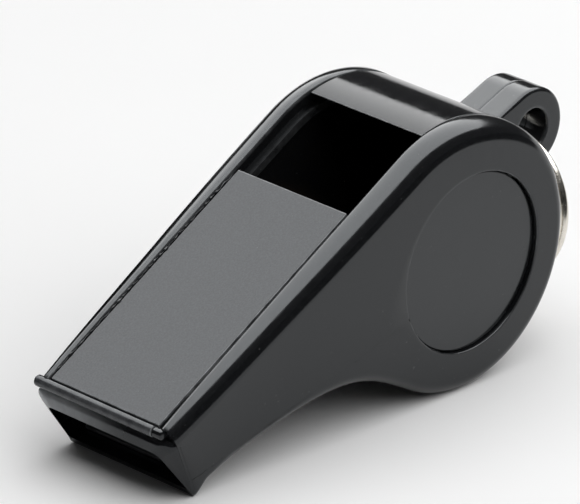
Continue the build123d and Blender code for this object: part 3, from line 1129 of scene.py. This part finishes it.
def bridge_profile(s):
    """Side view of the bridge: two arcs, a straight rear end and the bevelled blade."""
    radius = s.drum_radius + s.bridge_rise
    seat = radius - s.bridge_thickness + SEAT_GAP
    center = (-s.bridge_rise, 0.0)
    blade = math.acos((s.window_rear + s.bridge_rise) / radius)
    blade_z = radius * math.sin(blade)
    blade_edge = 0.15 * MM
    heel_x = s.window_rear + s.blade_bevel
    heel = math.acos((heel_x + s.bridge_rise) / seat)

    def rear_turn(circle):
        """Angle about the arcs' centre at which one of them meets the straight rear end."""
        spot = polar(ray_crossing(-s.bridge_rise, circle, s.bridge_end), s.bridge_end)
        return math.atan2(spot[1], spot[0] + s.bridge_rise)

    return np.vstack(
        [
            arc(center, radius, blade, rear_turn(radius), 80),
            arc(center, seat, rear_turn(seat), heel, 80),
            line((heel_x, blade_z - s.blade_bevel), (s.window_rear, blade_z - blade_edge)),
        ]
    )


def floor_profile(s):
    """Side view of the windway floor: a ramp that ends on the chamber's circle."""
    chamber = chamber_radius(s)
    front = s.floor_setback - s.mouth_reach
    rear = -s.window_front - s.floor_stop
    foot = duct_end(s)
    turn_low = math.atan2(s.duct_rear, foot)
    turn_high = math.acos(rear / chamber)
    seat = plate_top(s) - s.plate_thickness
    return np.vstack(
        [
            line((front, floor_line(s, front) + SEAT_GAP), (foot, floor_line(s, foot) + SEAT_GAP)),
            arc((0.0, 0.0), chamber, turn_low, turn_high, 24)[1:],
            line((rear, seat - s.windway_gap), (front, floor_line(s, front) + s.floor_front)),
        ]
    )


def badge_part(s, side):
    """Round inlay as a disc with a rounded front rim, from the middle of its face to that of its back."""
    face_steps, face_share = 12, 0.97
    rim, rim_highlight, room = 0.18 * MM, 0.5, 0.07 * MM
    face = s.half_body - s.badge_recess
    back = face - s.badge_thickness + SEAT_GAP
    outer = s.badge_radius - room
    bend = quarter_turn(6)
    flat = np.linspace(0.0, face_share, face_steps) * outer
    radius = np.concatenate([flat, outer - rim * (1 - np.sin(bend)), [outer, face_share * outer, 0.0]])
    y = np.concatenate([np.full(face_steps, face), face - rim * (1 - np.cos(bend)), np.full(3, back)])
    # Painted highlight along the rounded front rim
    paling = np.concatenate([np.zeros(face_steps), np.sin(2 * bend) * rim_highlight, np.zeros(3)])
    return pole_to_pole(lathe((s.badge_back, -s.badge_drop), radius, side * y, 160), paling[:, None])


def pea_part(s):
    """Cork ball: a sphere whose radius dips where waves of several directions fall together."""
    wave_count, slowest, fastest = 36, 6.0, 26.0
    pit_depth, ripple_depth = 0.10 * MM, 0.02 * MM
    pit_start, pit_full = 0.8, 1.9
    tall = np.linspace(0.0, np.pi, 97)
    turn = full_turn(192)
    ray = np.stack(
        [
            np.sin(tall)[:, None] * np.cos(turn),
            np.sin(tall)[:, None] * np.sin(turn),
            np.broadcast_to(np.cos(tall)[:, None], (len(tall), len(turn))),
        ],
        2,
    )
    draw = np.random.default_rng(11)
    ways = draw.normal(size=(wave_count, 3))
    ways /= np.linalg.norm(ways, axis=1)[:, None]
    pace = draw.uniform(slowest, fastest, wave_count)
    shift = draw.uniform(0.0, 2 * np.pi, wave_count)
    waves = np.sin(ray @ (ways * pace[:, None]).T + shift).sum(-1) / math.sqrt(wave_count)
    dip = pit_depth * ease(pit_start, pit_full, waves) + ripple_depth * (waves + 1.0).clip(0.0, 2.0)
    orbit = chamber_radius(s) - s.pea_gap - s.pea_radius
    middle = drum_axis + np.array([0.0, 0.0, -orbit])
    return pole_to_pole(middle + ray * (s.pea_radius - dip)[..., None])


def ring_part(s):
    """Split ring: a round wire carried along two close turns of a helix, whose ends are domed."""
    turns, steps = 2.0, 289
    room, dome_share = 0.06 * MM, 0.6
    pitch = 2 * s.ring_wire + room
    t = np.linspace(0.0, turns, steps)
    turn = 2 * np.pi * t - np.pi / 2
    cos, sin = np.cos(turn), np.sin(turn)
    path = np.stack([pitch * (t - turns / 2), s.ring_radius * cos, s.ring_radius * sin], 1)
    course = np.gradient(path, axis=0)
    course /= np.linalg.norm(course, axis=1)[:, None]
    inward = np.stack([np.zeros(steps), -cos, -sin], 1)
    side = np.cross(course, inward)
    bend = quarter_turn(6)[1:-1]
    around = full_turn(24)
    spoke = np.cos(around)[:, None, None] * inward + np.sin(around)[:, None, None] * side
    wire = (path[None] + s.ring_wire * spoke).transpose(1, 0, 2)

    def dome(end, sign):
        """Circles that shrink along a quarter of an ellipse past one end of the wire, and its tip."""
        radii = s.ring_wire * np.cos(bend)
        shift = sign * s.ring_wire * dome_share * np.sin(bend)
        caps = path[end] + shift[:, None, None] * course[end] + radii[:, None, None] * spoke[:, end][None]
        tip = path[end] + sign * s.ring_wire * dome_share * course[end]
        return np.concatenate([caps, np.broadcast_to(tip, (1, len(around), 3))])

    rows = np.concatenate([dome(0, -1.0)[::-1], wire, dome(-1, 1.0)])
    hang = np.array([0.0, 0.0, -s.ring_drop])
    hung = swing(rows.reshape(-1, 3) + hang, s.ring_lean) + lug_axis
    return pole_to_pole(hung.reshape(rows.shape))


def cement_part(s):
    """Squeezed-out cement along the far seam: a thin lumpy thread whose thickness wanders along it."""
    count, wave_count, sway_count = 900, 40, 20
    front_room, rear_room, taper = 1.0 * MM, 0.4 * MM, 0.6 * MM
    thinnest, lump, least = 0.03 * MM, 0.07 * MM, 1e-3
    inset, above, wander = 0.10 * MM, 0.02 * MM, 0.05 * MM
    slowest, fastest, full_lump = 0.8, 9.0, 1.6
    lump_scale, sway_scale, sway_pace = 6.0, 5.0, 0.6
    pale_from, pale_to = 0.3, 1.2
    draw = np.random.default_rng(5)
    x = np.linspace(front_room - s.mouth_reach, -s.window_front - rear_room, count)
    waves = draw.uniform(slowest, fastest, wave_count) / MM
    shift = draw.uniform(0.0, 2 * np.pi, wave_count)
    lumps = np.sin(x[:, None] * waves + shift).sum(1) / lump_scale
    thick = thinnest + lump * ease(0.0, full_lump, lumps)
    thick *= ease(0.0, taper, x - x[0]) * ease(0.0, taper, x[-1] - x) + least
    slow = x[:, None] * waves[:sway_count] * sway_pace
    sway = np.sin(slow + shift[sway_count:]).sum(1) / sway_scale
    y = s.slot_half - inset + wander * sway
    z = plate_top(s) + above + wander * lumps.clip(-1.0, 1.0)
    around = full_turn(12)
    rows = np.stack(
        [
            np.broadcast_to(x[:, None], (count, len(around))),
            y[:, None] + thick[:, None] * np.cos(around),
            z[:, None] + thick[:, None] * np.sin(around),
        ],
        2,
    )
    # Paler where the thread is thicker
    return pole_to_pole(rows, ease(pale_from, pale_to, lumps)[:, None])


# Operators


class WHISTLE_OT_shells(bpy.types.Operator):
    """Model the two moulded halves with their rails, lug halves and the near stub of the roll"""

    bl_idname = "whistle.shells"
    bl_label = "Moulded halves"

    def execute(self, context):
        s = context.scene.whistle_sizes
        stub_gap, stub_share = 0.1 * MM, 0.9
        material = moulded_plastic("shell_finish")
        for name, side in (("right_shell", -1.0), ("left_shell", 1.0)):
            mesh = to_mesh(name, tipped(shell_part(s, side)))
            cut_mouth(s, mesh)
            fittings = [half_lug(s, side)]
            if side < 0:
                root = s.bead_shift - s.bead_half - stub_gap
                fittings.append(roll_end(s, root, root - s.stub_run, stub_share * s.bead_radius))
            extra = to_mesh(name + "_extra", tipped(joined(fittings)))
            work = bmesh.new()
            work.from_mesh(mesh)
            work.from_mesh(extra)
            work.to_mesh(mesh)
            work.free()
            bpy.data.meshes.remove(extra)
            mesh.set_sharp_from_angle(angle=math.radians(CREASE))
            add_piece(name + "_skin", mesh, material, WHISTLE, "body_plastic", name)
        return {"FINISHED"}


class WHISTLE_OT_roof(bpy.types.Operator):
    """Model the top plate with its roll and apron"""

    bl_idname = "whistle.roof"
    bl_label = "Top plate"

    def execute(self, context):
        s = context.scene.whistle_sizes
        knob_reach, knob_share = 0.3 * MM, 0.97
        profile, paling = smooth_profile(roof_profile(s), rounding=0.05 * MM, count=420)
        half, shift = roof_widths(s, profile)
        end = s.bead_shift + s.bead_half
        knob = roll_end(s, end - s.stub_run, end + knob_reach, knob_share * s.bead_radius)
        part = joined([prism(profile, paling, half, END_ROUND, shift), knob])
        mesh = to_mesh("top_plate", tipped(part))
        material = moulded_plastic("plate_finish")
        add_piece("top_plate", mesh, material, WHISTLE, "plate_plastic", "windway_roof")
        return {"FINISHED"}


class WHISTLE_OT_tip(bpy.types.Operator):
    """Model the tip in front of the two halves, round the mouth's opening"""

    bl_idname = "whistle.tip"
    bl_label = "Mouth tip"

    def execute(self, context):
        mesh = to_mesh("mouth_tip", tipped(mouth_tip(context.scene.whistle_sizes)))
        add_piece("mouth_tip", mesh, moulded_plastic("tip_finish"), WHISTLE, "body_plastic")
        return {"FINISHED"}


class WHISTLE_OT_bridge(bpy.types.Operator):
    """Model the curved bridge behind the window"""

    bl_idname = "whistle.bridge"
    bl_label = "Bridge"

    def execute(self, context):
        s = context.scene.whistle_sizes
        profile, paling = smooth_profile(bridge_profile(s), rounding=0.05 * MM, count=360)
        part = prism(profile, paling, s.slot_half - s.bridge_gap, BRIDGE_END_ROUND)
        mesh = to_mesh("bridge", tipped(part))
        material = moulded_plastic("bridge_finish")
        add_piece("bridge", mesh, material, WHISTLE, "plate_plastic", "rear_bridge")
        return {"FINISHED"}


class WHISTLE_OT_windway(bpy.types.Operator):
    """Model the windway floor"""

    bl_idname = "whistle.windway"
    bl_label = "Windway floor"

    def execute(self, context):
        s = context.scene.whistle_sizes
        profile, paling = smooth_profile(floor_profile(s), rounding=0.06 * MM, count=260)
        part = prism(profile, paling, s.slot_half - SEAT_GAP, END_ROUND)
        mesh = to_mesh("windway_ramp", tipped(part))
        material = moulded_plastic("inner_finish")
        add_piece("windway_ramp", mesh, material, WHISTLE, "inner_plastic", "windway_floor")
        return {"FINISHED"}


class WHISTLE_OT_badges(bpy.types.Operator):
    """Model the bare round inlays of both cheeks"""

    bl_idname = "whistle.badges"
    bl_label = "Inlays"

    def execute(self, context):
        s = context.scene.whistle_sizes
        material = moulded_plastic("inlay_finish")
        for name, side in (("right_badge", -1.0), ("left_badge", 1.0)):
            mesh = to_mesh(name, tipped(badge_part(s, side)))
            add_piece(name + "_disc", mesh, material, WHISTLE, "badge_plastic", name)
        return {"FINISHED"}


class WHISTLE_OT_pea(bpy.types.Operator):
    """Model the cork pea"""

    bl_idname = "whistle.pea"
    bl_label = "Cork pea"

    def execute(self, context):
        mesh = to_mesh("cork_pea", pea_part(context.scene.whistle_sizes), NO_CREASE)
        add_piece("cork_pea", mesh, cork(), BALL, "cork", "pea")
        return {"FINISHED"}


class WHISTLE_OT_ring(bpy.types.Operator):
    """Model the split ring in the lug"""

    bl_idname = "whistle.ring"
    bl_label = "Split ring"

    def execute(self, context):
        mesh = to_mesh("lanyard_ring", ring_part(context.scene.whistle_sizes), RING_CREASE)
        add_piece("lanyard_ring", mesh, ring_metal(), RING, "ring_metal", "split_ring")
        return {"FINISHED"}


class WHISTLE_OT_cement(bpy.types.Operator):
    """Model the thread of cement along the far seam"""

    bl_idname = "whistle.cement"
    bl_label = "Cement thread"

    def execute(self, context):
        mesh = to_mesh("cement_thread", tipped(cement_part(context.scene.whistle_sizes)), NO_CREASE)
        material = bpy.data.materials.get("shell_finish") or moulded_plastic("shell_finish")
        add_piece("cement_thread", mesh, material, WHISTLE, "body_plastic")
        return {"FINISHED"}


class WHISTLE_OT_stage(bpy.types.Operator):
    """Lay the floor and set the light, the black cards and the camera"""

    bl_idname = "whistle.stage"
    bl_label = "Stage"

    def execute(self, context):
        stage = context.scene.whistle_stage
        self.lay_floor(context)
        self.light(context, stage)
        self.stand_cards(context, stage)
        self.camera(context, stage)
        context.scene.view_settings.view_transform = "Standard"
        return {"FINISHED"}

    def add_sheet(self, context, name, points, faces, material):
        """Object of a sheet that belongs to the stage."""
        mesh = bpy.data.meshes.new(name)
        mesh.from_pydata(points.tolist(), [], faces)
        mesh.materials.append(material)
        sheet = bpy.data.objects.new(name, mesh)
        context.scene.collection.objects.link(sheet)
        return sheet

    def lay_floor(self, context):
        """Large round sheet just below height zero, in rings that grow outward."""
        depth, spokes = 2e-5, 96
        turn = full_turn(spokes)
        radius = np.array([0.0, 0.2, 0.6, 1.5, 4.0])
        level = np.full((len(radius), spokes), -depth)
        rings = np.stack([radius[:, None] * np.cos(turn), radius[:, None] * np.sin(turn), level], 2)
        points = np.vstack([rings[0, :1], rings[1:].reshape(-1, 3)])
        faces = fan(1, spokes, 0, False)
        faces += [face[::-1] for face in grid_faces(len(radius) - 1, spokes, start=1)]
        pale = context.scene.whistle_colours.floor
        material = dull_paper("floor_paper", pale, share=0.985, per_mm=0.02, sheen=0.1)
        self.add_sheet(context, "studio_floor", points, faces, material)

    def stand_cards(self, context, stage):
        """Low upright black cards beside both cheeks, seen only in reflections: each is a sheet whose height
        and place along the whistle are its two parameters."""
        rows, columns = 3, 9
        black = context.scene.whistle_colours.card
        material = dull_paper("black_card", black, share=0.5, per_mm=0.5, sheen=0.0)
        cards = (
            ("near_card", -stage.card_distance, stage.card_height, stage.card_rear),
            ("far_card", stage.far_card_distance, stage.far_card_height, stage.far_card_rear),
        )
        for name, y, height, rear in cards:
            places, heights = np.linspace(-stage.card_front, rear, columns), np.linspace(0.0, height, rows)
            x, z = np.meshgrid(places, heights)
            points = np.stack([x, np.full(x.shape, y), z], 2).reshape(-1, 3)
            faces = grid_faces(rows, columns, wrap_columns=False)
            card = self.add_sheet(context, name, points, faces, material)
            card.visible_camera = False
            card.visible_diffuse = False
            card.visible_shadow = False
            card.visible_transmission = False

    def light(self, context, stage):
        """Soft panels that lie side by side overhead, and dim surroundings."""
        for name, low, high in PANELS:
            wide = name == WIDE_PANEL
            size = (np.array(high) - low) * stage.panel_height
            panel = bpy.data.lights.new(name, "AREA")
            panel.shape = "RECTANGLE"
            panel.size, panel.size_y = size
            level = stage.wide_level if wide else stage.panel_level
            panel.energy = level * math.pi * size[0] * size[1]
            lamp = bpy.data.objects.new(name, panel)
            rise = stage.panel_height * (WIDE_RISE if wide else 1.0)
            lamp.location = (*((np.array(high) + low) / 2 * stage.panel_height), rise)
            lamp.visible_camera = False
            lamp.visible_glossy = not wide
            lamp.visible_diffuse = wide
            context.scene.collection.objects.link(lamp)
        world = bpy.data.worlds.new("dim_room")
        context.scene.world = world
        world.use_nodes = True
        back = world.node_tree.nodes["Background"]
        back.inputs["Color"].default_value = (1.0, 1.0, 1.0, 1.0)
        back.inputs["Strength"].default_value = stage.ambient

    def camera(self, context, stage):
        """Long lens at the photograph's angle."""
        lens = bpy.data.cameras.new("studio_camera")
        lens.sensor_width = SENSOR_WIDTH
        lens.lens = stage.lens
        lens.clip_start = 0.01
        lens.clip_end = 20.0
        camera = bpy.data.objects.new("studio_camera", lens)
        cos_e, sin_e = math.cos(stage.elevation), math.sin(stage.elevation)
        cos_a, sin_a = math.cos(stage.azimuth), math.sin(stage.azimuth)
        forward = np.array([-sin_a * cos_e, cos_a * cos_e, -sin_e])
        aim = np.array([stage.aim_x, 0.0, stage.aim_z])
        camera.location = aim - forward * stage.distance
        camera.rotation_mode = "QUATERNION"
        turn = Euler((math.pi / 2 - stage.elevation, 0.0, stage.azimuth), "XYZ").to_matrix()
        camera.rotation_quaternion = (turn @ Matrix.Rotation(stage.roll, 3, "Z")).to_quaternion()
        context.scene.collection.objects.link(camera)
        context.scene.camera = camera


class WHISTLE_PT_panel(bpy.types.Panel):
    """List the whistle's pieces, sizes, colours and stage"""

    bl_idname = "WHISTLE_PT_panel"
    bl_label = "Whistle"
    bl_space_type = "VIEW_3D"
    bl_region_type = "UI"
    bl_category = "Whistle"

    def draw(self, context):
        for operator in OPERATORS:
            self.layout.operator(operator.bl_idname)
        for name in ("whistle_sizes", "whistle_colours", "whistle_stage"):
            group = getattr(context.scene, name)
            column = self.layout.column()
            for key in group.__annotations__:
                column.prop(group, key)


OPERATORS = (
    WHISTLE_OT_stage,
    WHISTLE_OT_shells,
    WHISTLE_OT_roof,
    WHISTLE_OT_tip,
    WHISTLE_OT_bridge,
    WHISTLE_OT_windway,
    WHISTLE_OT_badges,
    WHISTLE_OT_pea,
    WHISTLE_OT_ring,
    WHISTLE_OT_cement,
)
GROUPS = (WhistleSizes, WhistleColours, WhistleStage)


def register():
    """Registers the classes and hangs the property groups on the scene."""
    for cls in (*GROUPS, *OPERATORS, WHISTLE_PT_panel):
        bpy.utils.register_class(cls)
    bpy.types.Scene.whistle_sizes = bpy.props.PointerProperty(type=WhistleSizes)
    bpy.types.Scene.whistle_colours = bpy.props.PointerProperty(type=WhistleColours)
    bpy.types.Scene.whistle_stage = bpy.props.PointerProperty(type=WhistleStage)


def unregister():
    """Takes the property groups and classes away again."""
    del bpy.types.Scene.whistle_stage
    del bpy.types.Scene.whistle_colours
    del bpy.types.Scene.whistle_sizes
    for cls in (WHISTLE_PT_panel, *reversed(OPERATORS), *reversed(GROUPS)):
        bpy.utils.unregister_class(cls)


def main():
    """Builds the whistle piece by piece."""
    register()
    for operator in OPERATORS:
        group, name = operator.bl_idname.split(".")
        getattr(getattr(bpy.ops, group), name)()


if __name__ == "__main__":
    main()
